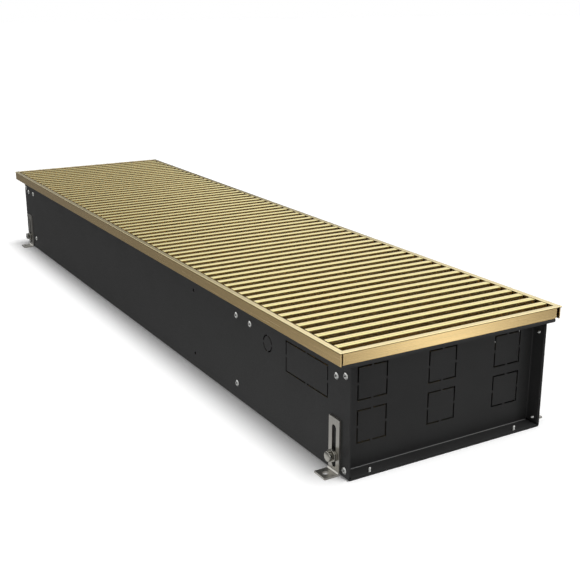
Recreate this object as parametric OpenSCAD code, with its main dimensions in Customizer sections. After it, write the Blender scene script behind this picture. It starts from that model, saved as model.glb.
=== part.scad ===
/* [Casing] */
// Length of the folded steel trough
case_l = 1090; // [900:10:2000]
// Width of the trough over its side walls
case_w = 250; // [240:5:320]
// Height from the floor to the top of the frame
total_h = 137; // [134:1:180]
// Thickness of the casing sheet
sheet_t = 1.2; // [0.8:0.1:1.5]
// Inside radius of the folds in the sheet
fold_r = 1; // [0.6:0.1:1.6]
// How far an end plate sits in from the ends of the side walls
end_recess = 17; // [15:1:24]
// Depth of the top lip of the casing below the top of the frame
lip_depth = 12.8; // [12:0.2:16]
// Height of the turned-down edge of an end plate's lip
lip_edge_h = 4; // [3:0.5:8]

/* [Knockouts] */
// Side of a square knockout in an end plate
square_ko = 36; // [24:1:38]
// Distance between the columns of square knockouts
ko_pitch_y = 87; // [60:1:88]
// Distance between the two rows of square knockouts
ko_pitch_z = 45.5; // [42:0.5:48]
// Height of the lower row of square knockouts
ko_low_z = 46.1; // [40:0.1:50]
// Length of the long knockout in a side wall
long_ko_l = 82; // [50:1:84]
// Height of the long knockout in a side wall
long_ko_h = 35; // [20:1:36]
// Diameter of the round knockout in a side wall
round_ko_d = 19.5; // [14:0.5:24]
// Width of the slots round a knockout
ko_slot = 1.6; // [0.8:0.1:2]
// Length of the tabs that hold a knockout
ko_tab = 2.6; // [1.5:0.1:5]

/* [Frame] */
// Width of the top strip of the frame profile
profile_w = 6; // [5.8:0.1:9]
// Wall thickness of the frame profile
profile_t = 1.2; // [0.8:0.1:1.4]
// How far the frame stands out past a side wall
side_overhang = 15; // [13:0.5:18]
// How far the frame stands out past the ends of the side walls
end_overhang = 5; // [4:0.5:10]
// Overhang of the top strip past the outer flange
profile_lap = 1; // [0.5:0.1:1.5]

/* [Grille] */
// Width of a grille bar
bar_w = 8; // [6:0.5:9]
// Wall thickness of a grille bar
bar_t = 1.2; // [0.8:0.1:1.6]
// Distance between the bars, centre to centre
bar_pitch = 17.7; // [16.5:0.1:22]
// Depth of the bar tops below the top of the frame
bar_sink = 0.3; // [0.1:0.1:1]
// Gap between the end of a bar and the frame
bar_end_gap = 1.5; // [0.6:0.1:3]
// Radius of the long top edges of a bar
bar_edge_r = 0.3; // [0.2:0.1:1.5]
// Thickness of the rubber strips under the bars
rubber_t = 1; // [0.6:0.1:2]
// Width of the rubber strips under the bars
rubber_w = 5.6; // [4:0.2:6]
// Diameter of the wire rope that links the bars
rope_d = 2; // [1.5:0.1:2.5]
// Outer diameter of the sleeves between the bars
sleeve_d = 5; // [4.5:0.5:6]

/* [Feet] */
// Width of a foot bracket
foot_w = 19; // [16:1:24]
// Thickness of a foot bracket
foot_t = 2; // [1.5:0.1:3]
// Height of a foot bracket
foot_h = 59; // [56:1:80]
// How far the foot plate reaches out from the side wall
foot_reach = 18.5; // [18:0.5:30]
// Inside radius of the bracket's bend
foot_bend_r = 3; // [1:0.5:3.5]
// Width of the adjustment slot
foot_slot_w = 7.2; // [6.6:0.1:8]
// Lower end of the adjustment slot
foot_slot_low = 6.5; // [6:0.5:8]
// Upper end of the adjustment slot
foot_slot_high = 51.6; // [40:0.2:52]
// Diameter of the floor hole in the foot plate
foot_hole_d = 6.5; // [5:0.1:7]
// Distance of the floor hole from the side wall
foot_hole_out = 11.5; // [11:0.5:14]
// Distance of a bracket's centre from the end of the casing
foot_inset = 23.5; // [23:0.5:24]
// Height of the clamp bolt
bolt_z = 19.3; // [18.5:0.1:24]
// Diameter of the clamp bolt's shank
bolt_d = 6; // [5:0.1:6]

/* [Heat exchanger] */
// Outer diameter of the copper tubes
tube_d = 15; // [12:0.5:16]
// Wall thickness of the copper tubes
tube_t = 1; // [0.7:0.1:1.5]
// Distance between the two columns of tubes
tube_gap_y = 75; // [60:1:90]
// Distance between the two rows of tubes
tube_gap_z = 34; // [30:1:36]
// Height of the lower row of tubes
tube_low_z = 36; // [32:1:38]
// Width of a fin
fin_w = 150; // [130:2:160]
// Height of a fin
fin_h = 70; // [64:1:72]
// Thickness of a fin
fin_t = 0.6; // [0.3:0.1:1]
// Distance between the fins
fin_pitch = 8; // [5:0.5:12]
// Distance of the near support's screws from the connection end
near_support_in = 232.5; // [225:0.5:240]
// Distance of the far support's screws from the far end
far_support_in = 52.5; // [50:0.5:60]
// Radius of a pipe connection's bore, the crest of its thread
port_r = 9.3; // [8:0.1:9.5]
// Depth of a pipe connection's bore
port_l = 15; // [12:1:20]

/* [Screws] */
// Diameter of the pan heads on the side walls
pan_d = 7.6; // [6:0.1:8.5]
// Height of the pan heads
pan_h = 1.9; // [1.6:0.1:3]
// Diameter of the wall screws' shanks
wall_screw_d = 3.8; // [3:0.1:4.2]
// Length of the wall screws under their heads
wall_screw_l = 5.5; // [5:0.5:9]
// Diameter of the floor screws' shanks
floor_screw_d = 3.5; // [2:0.1:3.6]
// Length of the floor screws from the floor
floor_screw_l = 7.6; // [6:0.2:9]

/* [Hidden] */

// Shared small values
eps = 0.5;
$fn = 40;
quarter = 90;
fit = 0.1;
slip = 0.05;

// Main faces of the casing, with X along its length and the connection end at +X
half_l = case_l / 2;
half_w = case_w / 2;
lip_top = total_h - lip_depth;
fold_out = fold_r + sheet_t;
inner_w = half_w - sheet_t;
plate_out = half_l - end_recess;
plate_in = plate_out - sheet_t;

// Frame faces and the lips that carry it
frame_x = half_l + end_overhang;
frame_y = half_w + side_overhang;
flange_x = frame_x - profile_lap;
flange_y = frame_y - profile_lap;
strip_z = total_h - profile_t;
flange_hook = 1;
side_lip_play = 0.4;
side_lip_y = flange_y - profile_t - side_lip_play;
mitre_play = 0.05;
strip_edge_r = 0.4;

// The end profile and the end plate's lip stop short of the corners
front_corner_gap = 1.6;
end_strip_front = flange_y - profile_t - front_corner_gap;
back_corner_gap = 4.8;
end_strip_back = flange_y - profile_t - back_corner_gap;
lip_play = 0.2;
lip_corner_r = 1.4;

// Side flanges of an end plate, cut back at the corners
plate_half_w = inner_w - fit;
relief_z = 4;
relief_top = 6;
flange_set = 0.5;

// Grille
bar_low = lip_top + rubber_t;
bar_top = total_h - bar_sink;
bar_h = bar_top - bar_low;
bar_l = 2 * (frame_y - profile_w - bar_end_gap);
grille_room = 2 * (frame_x - profile_w);
end_gap_least = 2;
bar_count = floor((grille_room - bar_w - 2 * end_gap_least) / bar_pitch) + 1;
hinged = 8;
main_count = bar_count - hinged;
first_bar_x = -bar_pitch * (bar_count - 1) / 2;
bar_gap = bar_pitch - bar_w;
rope_shares = [-0.35, 0, 0.35];
rope_rise_share = 0.28;
rope_z = bar_low + bar_h * rope_rise_share;
rope_hole_r = rope_d / 2 + fit;
sleeve_play = 0.15;
rope_setback = 0.6;
ferrule_wall = 1.1;
ferrule_r = rope_d / 2 + ferrule_wall;
ferrule_l = 3;
rubber_y = frame_y - profile_w - rubber_w - bar_end_gap;
rubber_l = case_l - 2 * end_recess;

// Wall screws: distances in from a casing end, and heights
corner_in = 7.5;
corner_low_z = 8.6;
corner_drop = 16.7;
corner_high_z = lip_top - corner_drop;
support_low_z = 20;
support_drop = 20.9;
support_high_z = lip_top - support_drop;
brace_in = 199.6;
high_screw_drop = 21.9;
high_screw_z = lip_top - high_screw_drop;
spare_in = 347.3;
spare_low_z = 19.7;
spare_hole_r = 2;
screw_hole_r = wall_screw_d / 2 + slip;
pan_edge_h = 0.4;
pan_recess_r = 1.5;
pan_recess_h = 1;
tip_l = 1.4;
tip_share = 0.5;

// Floor screws of the end plates
floor_in = 3.2;
floor_front_y = 98;
floor_back_y = 91;
sink_w = 1;
sink_r = floor_screw_d / 2 + sink_w;
floor_tip_l = 1;

// Side wall knockouts, measured in from the connection end
long_ko_in = 79.5;
long_ko_drop = 33.4;
long_ko_z = lip_top - long_ko_drop;
round_ko_in = 159.7;
round_ko_drop = 32.2;
round_ko_z = lip_top - round_ko_drop;

// Feet
foot_gap = 0.1;
foot_face = half_w + foot_gap;
foot_out = foot_face + foot_t;
foot_x = half_l - foot_inset;
bolt_play = 0.3;
bolt_hole_r = bolt_d / 2 + bolt_play;
collar_af = 13;
collar_t = 3.4;
chamfer_slope = tan(60);
neck_r = 3.5;
neck_l = 0.9;
head_r = 5.5;
head_l = 4;
head_edge = 0.7;
backing_t = 2;
backing_low = 8;
backing_drop = 12.2;
backing_high = lip_top - backing_drop;
backing_end = 4.9;
backing_start = 13;
backing_outer = foot_x + backing_end;
backing_inner = foot_x - backing_start;
weld_nut_af = 10;
weld_nut_t = 5;

// Heat exchanger
tube_r = tube_d / 2;
tube_y = tube_gap_y / 2;
tube_high_z = tube_low_z + tube_gap_z;
fin_mid_z = (tube_low_z + tube_high_z) / 2;
support_flange = 18;
near_screw_x = half_l - near_support_in;
far_screw_x = -half_l + far_support_in;
near_web_x = near_screw_x - support_flange / 2;
far_web_x = far_screw_x + support_flange / 2;
support_low = 4;
support_high = backing_high;
support_dip = 14;
support_shoulder = 30;
grommet_wall = 2;
grommet_flange = 1.8;
grommet_lip = 1.6;
bend_out = 14.5;
cross_out = 8.5;
cross_r = 20;
port_reach = 48;
port_x = near_web_x + port_reach;
port_body_af = 27;
port_body_l = 26;
port_socket = 9;
vent_body_r = 5;
vent_body_h = 12;
vent_seat = 2;
vent_thread_r = 2.5;
vent_thread_l = 7;
vent_head_r = 4;
vent_head_h = 3.4;
vent_slot_w = 1.2;
vent_slot_h = 1.4;
vent_hole_r = 1.5;
brace_w = 12;
brace_h = 15;
brace_x = half_l - brace_in;
brace_tab = 14;

// The four corners of the casing: [end, side], connection end and back side positive
function near_end(i) = i < 2 ? 1 : -1;
function back_side(i) = i % 2 == 0 ? -1 : 1;

// A quarter of a sheet fold, opening towards +X +Y from the centre of the bend
module fold_2d(inner, t) {
    intersection() {
        difference() {
            circle(r = inner + t);
            circle(r = inner);
        }
        square(inner + t);
    }
}

// A round bore along Y through a wall at side s
module wall_bore(x, z, r, s, depth = sheet_t) {
    translate([x, s * (half_w + eps), z])
        rotate([s * quarter, 0, 0])
            cylinder(r = r, h = depth + 2 * eps);
}

// Slots round a knockout, drawn flat, with a tab at the middle of each side
module rect_knockout_2d(l, h) {
    difference() {
        square([l, h], center = true);
        square([l - 2 * ko_slot, h - 2 * ko_slot], center = true);
        square([ko_tab, h + 2 * eps], center = true);
        square([l + 2 * eps, ko_tab], center = true);
    }
}

module round_knockout_2d(d) {
    difference() {
        circle(d = d);
        circle(d = d - 2 * ko_slot);
        square([ko_tab, d + 2 * eps], center = true);
        square([d + 2 * eps, ko_tab], center = true);
    }
}

// Section of the trough across its length: floor, walls, folds and outward lips
module trough_2d() {
    square_floor = half_w - fold_out;
    translate([-square_floor, 0])
        square([2 * square_floor, sheet_t]);
    for (s = [-1, 1])
        scale([s, 1])
            trough_side_2d();
}

module trough_side_2d() {
    wall_top = lip_top - fold_out;
    translate([half_w - fold_out, fold_out])
        rotate(-quarter)
            fold_2d(fold_r, sheet_t);
    translate([inner_w, fold_out])
        square([sheet_t, wall_top - fold_out]);
    translate([half_w + fold_r, wall_top])
        rotate(quarter)
            fold_2d(fold_r, sheet_t);
    translate([half_w + fold_r, lip_top - sheet_t])
        square([side_lip_y - half_w - fold_r, sheet_t]);
}

module casing_trough() {
    color("#2e2e30")
        difference() {
            rotate([quarter, 0, quarter])
                linear_extrude(height = case_l, center = true)
                    trough_2d();
            for (s = [-1, 1]) {
                wall_screw_bores(s);
                side_knockouts(s);
            }
            for (e = [-1, 1])
                for (y = [-floor_front_y, floor_back_y])
                    translate([e * (half_l - floor_in), e * y, 0])
                        floor_screw_bore();
        }
}

module wall_screw_bores(s) {
    for (e = [-1, 1]) {
        wall_bore(e * (half_l - corner_in), corner_low_z, screw_hole_r, s);
        wall_bore(e * (half_l - corner_in), corner_high_z, screw_hole_r, s);
        wall_bore(e * foot_x, high_screw_z, screw_hole_r, s);
        wall_bore(e * foot_x, bolt_z, bolt_hole_r, s);
    }
    for (x = [near_screw_x, far_screw_x])
        for (z = [support_low_z, support_high_z])
            wall_bore(x, z, screw_hole_r, s);
    for (z = [spare_low_z, high_screw_z])
        wall_bore(half_l - spare_in, z, spare_hole_r, s);
    wall_bore(brace_x, high_screw_z, screw_hole_r, s);
}

module side_knockouts(s) {
    translate([0, s * (inner_w - eps), 0])
        rotate([quarter, 0, 0])
            scale([1, 1, -s])
                linear_extrude(height = sheet_t + 2 * eps) {
                    translate([half_l - long_ko_in, long_ko_z])
                        rect_knockout_2d(long_ko_l, long_ko_h);
                    translate([half_l - round_ko_in, round_ko_z])
                        round_knockout_2d(round_ko_d);
                }
}

module floor_screw_bore() {
    translate([0, 0, -eps])
        cylinder(r = floor_screw_d / 2 + slip, h = 2 * sheet_t + 2 * eps);
    translate([0, 0, -slip])
        cylinder(r1 = sink_r + slip, r2 = floor_screw_d / 2 + slip, h = sheet_t);
}

// Section of an end plate along the length: floor flange, plate, lip and turned-down edge
module end_plate_2d() {
    plate_top = lip_top - fold_out;
    flange_z = 2 * sheet_t;
    translate([plate_out + fold_r, sheet_t])
        square([end_recess - fold_r - flange_set, sheet_t]);
    translate([plate_out + fold_r, flange_z + fold_r])
        rotate(2 * quarter)
            fold_2d(fold_r, sheet_t);
    translate([plate_in, flange_z + fold_r])
        square([sheet_t, plate_top - flange_z - fold_r]);
    translate([plate_out + fold_r, plate_top])
        rotate(quarter)
            fold_2d(fold_r, sheet_t);
    translate([plate_out + fold_r, lip_top - sheet_t])
        square([flange_x - fold_out - plate_out - fold_r, sheet_t]);
    translate([flange_x - fold_out, lip_top - fold_out])
        fold_2d(fold_r, sheet_t);
    translate([flange_x - sheet_t, lip_top - lip_edge_h])
        square([sheet_t, lip_edge_h - fold_out]);
}

// Draws a section in X and Z as a solid between two values of Y
module along_y(y0, y1) {
    translate([0, y1, 0])
        rotate([quarter, 0, 0])
            linear_extrude(height = y1 - y0)
                children();
}

// Seen square to the end plate, its lip has rounded lower corners
module lip_outline() {
    lip_l = end_strip_front + end_strip_back;
    translate([half_l + lip_play, -end_strip_front, 0])
        rotate([quarter, 0, quarter])
            linear_extrude(height = flange_x - half_l) {
                translate([0, lip_top - lip_edge_h + lip_corner_r])
                    square([lip_l, lip_edge_h]);
                translate([lip_corner_r, lip_top - lip_edge_h])
                    square([lip_l - 2 * lip_corner_r, lip_edge_h]);
                for (y = [lip_corner_r, lip_l - lip_corner_r])
                    translate([y, lip_top - lip_edge_h + lip_corner_r])
                        circle(r = lip_corner_r);
            }
}

module end_plate() {
    difference() {
        union() {
            along_y(-plate_half_w + fold_out, plate_half_w - fold_out)
                end_plate_2d();
            intersection() {
                along_y(-end_strip_front, end_strip_back)
                    end_plate_2d();
                lip_outline();
            }
            for (s = [-1, 1])
                scale([1, s, 1])
                    plate_side_flange();
        }
        for (column = [-1, 0, 1])
            for (row = [0, 1])
                translate([plate_in - eps, column * ko_pitch_y, ko_low_z + row * ko_pitch_z])
                    rotate([quarter, 0, quarter])
                        linear_extrude(height = sheet_t + 2 * eps)
                            rect_knockout_2d(square_ko, square_ko);
        for (s = [-1, 1]) {
            wall_bore(half_l - corner_in, corner_low_z, screw_hole_r, s, 2 * sheet_t + fit);
            wall_bore(half_l - corner_in, corner_high_z, screw_hole_r, s, 2 * sheet_t + fit);
        }
        for (y = [-floor_front_y, floor_back_y])
            translate([half_l - floor_in, y, 0])
                floor_screw_bore();
    }
}

module plate_side_flange() {
    flange_high = lip_top - fold_out - relief_top;
    translate([0, 0, relief_z])
        linear_extrude(height = flange_high - relief_z) {
            translate([plate_out + fold_r, plate_half_w - fold_out])
                rotate(quarter)
                    fold_2d(fold_r, sheet_t);
            translate([plate_out + fold_r, plate_half_w - sheet_t])
                square([end_recess - fold_r - flange_set, sheet_t]);
        }
}

module end_plate_near() {
    color("#2e2e30")
        end_plate();
}

module end_plate_far() {
    color("#2e2e30")
        rotate(2 * quarter)
            end_plate();
}

// Top strip of a frame profile, lying along X at the front, with rounded upper edges
module strip_2d() {
    translate([-frame_y, strip_z])
        square([profile_w, profile_t - strip_edge_r]);
    translate([-frame_y + strip_edge_r, strip_z])
        square([profile_w - 2 * strip_edge_r, profile_t]);
    for (y = [strip_edge_r, profile_w - strip_edge_r])
        translate([-frame_y + y, total_h - strip_edge_r])
            circle(r = strip_edge_r);
}

// A wedge that cuts a strip off square to the corner's diagonal
module mitre_cut(long, wide) {
    cut_z = strip_z - eps;
    for (e = [-1, 1])
        scale([e, 1, 1])
            translate([long - mitre_play, -wide, cut_z])
                rotate(quarter / 2)
                    translate([0, -profile_w, 0])
                        cube([4 * profile_w, 4 * profile_w, profile_t + 2 * eps]);
}

module side_profile() {
    difference() {
        rotate([quarter, 0, quarter])
            linear_extrude(height = 2 * frame_x, center = true)
                strip_2d();
        mitre_cut(frame_x, frame_y);
    }
    translate([-flange_x, -flange_y, lip_top - flange_hook])
        cube([2 * flange_x, profile_t, strip_z - lip_top + flange_hook]);
    web_l = flange_x - profile_t - lip_play;
    translate([-web_l, -frame_y + profile_w - profile_t, lip_top])
        cube([2 * web_l, profile_t, strip_z - lip_top]);
}

module end_profile() {
    difference() {
        translate([frame_x - frame_y, 0, 0])
            rotate(quarter)
                rotate([quarter, 0, quarter])
                    linear_extrude(height = 2 * frame_y, center = true)
                        strip_2d();
        translate([frame_x, 0, 0])
            rotate(quarter)
                mitre_cut(frame_y, 0);
    }
    web_y = frame_y - profile_w - fit;
    translate([flange_x - profile_t, -end_strip_front, lip_top])
        cube([profile_t, end_strip_front + end_strip_back, strip_z - lip_top]);
    translate([frame_x - profile_w, -web_y, lip_top])
        cube([profile_t, 2 * web_y, strip_z - lip_top]);
}

module frame_profile_front() {
    color("#e3cd96")
        side_profile();
}

module frame_profile_back() {
    color("#e3cd96")
        rotate(2 * quarter)
            side_profile();
}

module frame_profile_near() {
    color("#e3cd96")
        end_profile();
}

module frame_profile_far() {
    color("#e3cd96")
        rotate(2 * quarter)
            end_profile();
}

// Rubber strips that the ends of the grille bars rest on
module rubber_strip(s) {
    low_y = s > 0 ? rubber_y : -rubber_y - rubber_w;
    color("#1c1c1c")
        translate([-rubber_l / 2, low_y, lip_top])
            cube([rubber_l, rubber_w, rubber_t]);
}

module rubber_strip_front() {
    rubber_strip(-1);
}

module rubber_strip_back() {
    rubber_strip(1);
}

// Pan-head screw: head on +Z, shank and tip below the origin
module pan_screw() {
    dome_r = (pow(pan_d / 2, 2) + pow(pan_h - pan_edge_h, 2)) / (2 * (pan_h - pan_edge_h));
    difference() {
        rotate_extrude() {
            square([pan_d / 2, pan_edge_h]);
            intersection() {
                translate([0, pan_h - dome_r])
                    circle(r = dome_r);
                translate([0, pan_edge_h])
                    square([pan_d / 2, pan_h]);
            }
        }
        translate([0, 0, pan_h - pan_recess_h])
            cylinder(r = pan_recess_r, h = pan_recess_h + eps);
    }
    translate([0, 0, -wall_screw_l + tip_l])
        cylinder(d = wall_screw_d, h = wall_screw_l - tip_l);
    translate([0, 0, -wall_screw_l])
        cylinder(d1 = wall_screw_d * tip_share, d2 = wall_screw_d, h = tip_l);
}

module wall_screw(x, z, s) {
    color("#c9c9c6")
        translate([x, s * half_w, z])
            rotate([-s * quarter, 0, 0])
                pan_screw();
}

module end_plate_wall_screws() {
    for (e = [-1, 1])
        for (s = [-1, 1])
            for (z = [corner_low_z, corner_high_z])
                wall_screw(e * (half_l - corner_in), z, s);
}

module support_screws() {
    for (x = [near_screw_x, far_screw_x])
        for (s = [-1, 1])
            for (z = [support_low_z, support_high_z])
                wall_screw(x, z, s);
}

module backing_plate_screws() {
    for (e = [-1, 1])
        for (s = [-1, 1])
            wall_screw(e * foot_x, high_screw_z, s);
}

module brace_screws() {
    for (s = [-1, 1])
        wall_screw(brace_x, high_screw_z, s);
}

// Countersunk screws that hold the end plates to the floor, tips up
module end_plate_floor_screws() {
    for (e = [-1, 1])
        for (y = [-floor_front_y, floor_back_y])
            color("#c9c9c6")
                translate([e * (half_l - floor_in), e * y, 0]) {
                    cylinder(r1 = sink_r, r2 = floor_screw_d / 2, h = sheet_t);
                    translate([0, 0, sheet_t])
                        cylinder(d = floor_screw_d, h = floor_screw_l - sheet_t - floor_tip_l);
                    translate([0, 0, floor_screw_l - floor_tip_l])
                        cylinder(d1 = floor_screw_d, d2 = floor_screw_d / 2, h = floor_tip_l);
                }
}

// Channel across the casing that keeps the side walls parallel
module cross_brace() {
    reach = inner_w - fit;
    color("#8f9294")
        difference() {
            translate([brace_x, 0, high_screw_z - brace_h / 2])
                union() {
                    translate([-brace_w / 2, -reach, 0])
                        cube([brace_w, 2 * reach, sheet_t]);
                    translate([-brace_w / 2, -reach + brace_tab, 0])
                        cube([sheet_t, 2 * (reach - brace_tab), brace_h]);
                    for (s = [-1, 1])
                        translate([-brace_w / 2, s * (reach - sheet_t / 2) - sheet_t / 2, 0])
                            cube([brace_w, sheet_t, brace_h]);
                }
            for (s = [-1, 1])
                wall_bore(brace_x, high_screw_z, screw_hole_r, s, 2 * sheet_t + fit);
        }
}

// Strips inside the walls behind the feet, each with a weld nut for the clamp bolt
module foot_backing_plates() {
    for (e = [-1, 1])
        for (s = [-1, 1])
            color("#a9adaf")
                difference() {
                    scale([e, s, 1]) {
                        translate([backing_inner, inner_w - backing_t, backing_low])
                            cube([backing_outer - backing_inner, backing_t, backing_high - backing_low]);
                        translate([foot_x, inner_w - backing_t, bolt_z])
                            rotate([quarter, quarter / 3, 0])
                                cylinder(d = weld_nut_af / cos(30), h = weld_nut_t, $fn = 6);
                    }
                    wall_bore(e * foot_x, high_screw_z, screw_hole_r, s, sheet_t + backing_t);
                    wall_bore(e * foot_x, bolt_z, bolt_d / 2 + slip, s,
                        sheet_t + backing_t + weld_nut_t);
                }
}

// Foot bracket in its own place at the front of the connection end
module foot_bracket() {
    bend_out_r = foot_bend_r + foot_t;
    slot_r = foot_slot_w / 2;
    difference() {
        translate([foot_x, -foot_face, 0])
            rotate([quarter, 0, -quarter])
                linear_extrude(height = foot_w, center = true) {
                    translate([0, bend_out_r])
                        square([foot_t, foot_h - bend_out_r]);
                    translate([bend_out_r, bend_out_r])
                        rotate(2 * quarter)
                            fold_2d(foot_bend_r, foot_t);
                    translate([bend_out_r, 0])
                        square([foot_reach - foot_gap - bend_out_r, foot_t]);
                }
        translate([foot_x, -foot_face + eps, 0])
            rotate([quarter, 0, 0])
                linear_extrude(height = foot_t + 2 * eps) {
                    translate([-slot_r, foot_slot_low + slot_r])
                        square([foot_slot_w, foot_slot_high - foot_slot_low - foot_slot_w]);
                    for (z = [foot_slot_low + slot_r, foot_slot_high - slot_r])
                        translate([0, z])
                            circle(d = foot_slot_w);
                }
        translate([foot_x, -half_w - foot_hole_out, -eps])
            cylinder(d = foot_hole_d, h = foot_t + 2 * eps);
    }
}

module foot(i) {
    color("#9a978f")
        scale([near_end(i), -back_side(i), 1])
            foot_bracket();
}

module foot_near_front() {
    foot(0);
}

module foot_near_back() {
    foot(1);
}

module foot_far_front() {
    foot(2);
}

module foot_far_back() {
    foot(3);
}

// Clamp bolt at the front of the connection end: round head, neck, hexagon collar and shank
module clamp_bolt(i) {
    shank_l = foot_out - inner_w + backing_t + weld_nut_t + fit;
    collar_z = fit;
    neck_z = collar_z + collar_t;
    head_z = neck_z + neck_l;
    color("#8d8a83")
        translate([near_end(i) * foot_x, back_side(i) * foot_out, bolt_z])
            rotate([-back_side(i) * quarter, 0, 0]) {
                translate([0, 0, -shank_l])
                    cylinder(d = bolt_d, h = shank_l + head_z);
                translate([0, 0, collar_z])
                    rotate(quarter / 3)
                        intersection() {
                            cylinder(d = collar_af / cos(30), h = collar_t, $fn = 6);
                            cylinder(r1 = collar_af / 2 + collar_t * chamfer_slope, r2 = collar_af / 2,
                                h = collar_t);
                        }
                translate([0, 0, neck_z - fit])
                    cylinder(r = neck_r, h = neck_l + 2 * fit);
                translate([0, 0, head_z])
                    cylinder(r = head_r, h = head_l - head_edge);
                translate([0, 0, head_z + head_l - head_edge])
                    cylinder(r1 = head_r, r2 = head_r - head_edge, h = head_edge);
            }
}

module clamp_bolt_near_front() {
    clamp_bolt(0);
}

module clamp_bolt_near_back() {
    clamp_bolt(1);
}

module clamp_bolt_far_front() {
    clamp_bolt(2);
}

module clamp_bolt_far_back() {
    clamp_bolt(3);
}

// Copper tube along X
module tube(x0, x1, y, z) {
    color("#b5693f")
        translate([x0, y, z])
            rotate([0, quarter, 0])
                difference() {
                    cylinder(r = tube_r, h = x1 - x0);
                    translate([0, 0, -eps])
                        cylinder(r = tube_r - tube_t, h = x1 - x0 + 2 * eps);
                }
}

far_tube_x = far_web_x - bend_out;
near_tube_x = near_web_x + cross_out;
low_tube_x = port_x - port_body_l + port_socket;

module flow_tube() {
    tube(far_tube_x, low_tube_x, -tube_y, tube_low_z);
}

module return_tube() {
    tube(far_tube_x, low_tube_x, tube_y, tube_low_z);
}

module upper_tube_front() {
    tube(far_tube_x, near_tube_x, -tube_y, tube_high_z);
}

module upper_tube_back() {
    tube(far_tube_x, near_tube_x, tube_y, tube_high_z);
}

module tube_ring_2d(r) {
    translate([r, 0])
        difference() {
            circle(r = tube_r);
            circle(r = tube_r - tube_t);
        }
}

// Upright return bend at the far end, joining a lower tube to the upper one
module return_bend(y) {
    color("#b5693f")
        translate([far_tube_x, y, fin_mid_z])
            rotate([quarter, 0, 0])
                rotate(quarter)
                    rotate_extrude(angle = 2 * quarter)
                        tube_ring_2d(tube_gap_z / 2);
}

module return_bend_front() {
    return_bend(-tube_y);
}

module return_bend_back() {
    return_bend(tube_y);
}

// Crossover at the connection end: two elbows and a straight tube
module crossover_bend() {
    run = tube_gap_y - 2 * cross_r;
    color("#b5693f")
        translate([near_tube_x, 0, tube_high_z]) {
            for (s = [-1, 1])
                scale([1, s, 1])
                    translate([0, run / 2, 0])
                        rotate_extrude(angle = quarter)
                            tube_ring_2d(cross_r);
            difference() {
                translate([cross_r, run / 2, 0])
                    rotate([quarter, 0, 0])
                        cylinder(r = tube_r, h = run);
                translate([cross_r, run / 2 + eps, 0])
                    rotate([quarter, 0, 0])
                        cylinder(r = tube_r - tube_t, h = run + 2 * eps);
                translate([cross_r, 0, 0])
                    cylinder(r = vent_hole_r, h = tube_d);
            }
        }
}

// Aluminium fins pressed on the tubes
module fin_pack() {
    room = near_web_x - far_web_x - 2 * fin_pitch;
    gaps = floor(room / fin_pitch);
    start = (near_web_x + far_web_x) / 2 - fin_pitch * gaps / 2 - fin_t / 2;
    color("#c4c8ca")
        for (i = [0:gaps])
            translate([start + i * fin_pitch, 0, fin_mid_z])
                rotate([quarter, 0, quarter])
                    linear_extrude(height = fin_t)
                        difference() {
                            square([fin_w, fin_h], center = true);
                            for (y = [-tube_y, tube_y])
                                for (z = [-tube_gap_z / 2, tube_gap_z / 2])
                                    translate([y, z])
                                        circle(r = tube_r + slip);
                        }
}

// Upright plate across the casing that carries the tubes, with flanges screwed to the walls
module exchanger_support(web_x, out, hole_x) {
    reach = inner_w - fit;
    hole_r = tube_r + grommet_wall;
    low_dip = reach - support_shoulder;
    color("#6f7376")
        difference() {
            union() {
                translate([web_x, 0, 0])
                    rotate([quarter, 0, quarter])
                        linear_extrude(height = sheet_t, center = true)
                            polygon([[-reach + fold_out, support_low],
                                [reach - fold_out, support_low],
                                [reach - fold_out, support_high],
                                [low_dip, support_high],
                                [low_dip - support_dip, support_high - support_dip],
                                [support_dip - low_dip, support_high - support_dip],
                                [-low_dip, support_high],
                                [-reach + fold_out, support_high]]);
                for (s = [-1, 1])
                    translate([web_x, 0, support_low])
                        scale([out, s, 1])
                            support_flange_strip(reach);
            }
            for (y = [-tube_y, tube_y])
                for (z = [tube_low_z, tube_high_z])
                    translate([web_x - sheet_t / 2 - eps, y, z])
                        rotate([0, quarter, 0])
                            cylinder(r = hole_r, h = sheet_t + 2 * eps);
            for (s = [-1, 1])
                for (z = [support_low_z, support_high_z])
                    wall_bore(hole_x, z, screw_hole_r, s, 2 * sheet_t + fit);
        }
}

module support_flange_strip(reach) {
    linear_extrude(height = support_high - support_low) {
        translate([fold_r + sheet_t / 2, reach - fold_out])
            rotate(quarter)
                fold_2d(fold_r, sheet_t);
        translate([fold_r + sheet_t / 2, reach - sheet_t])
            square([support_flange - fold_r, sheet_t]);
    }
}

module exchanger_support_near() {
    exchanger_support(near_web_x, 1, near_screw_x);
}

module exchanger_support_far() {
    exchanger_support(far_web_x, -1, far_screw_x);
}

// Rubber grommets that seat the tubes in a support
module tube_grommets(web_x) {
    half_t = sheet_t / 2 + slip;
    hole_r = tube_r + grommet_wall;
    color("#26221f")
        for (y = [-tube_y, tube_y])
            for (z = [tube_low_z, tube_high_z])
                translate([web_x, y, z])
                    rotate([0, quarter, 0])
                        rotate_extrude()
                            translate([tube_r + slip, 0])
                                union() {
                                    translate([0, -half_t])
                                        square([grommet_wall - 2 * slip, 2 * half_t]);
                                    for (side = [-half_t - grommet_lip, half_t])
                                        translate([0, side])
                                            square([grommet_wall + grommet_flange, grommet_lip]);
                                }
}

module tube_grommets_near() {
    tube_grommets(near_web_x);
}

module tube_grommets_far() {
    tube_grommets(far_web_x);
}

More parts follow.
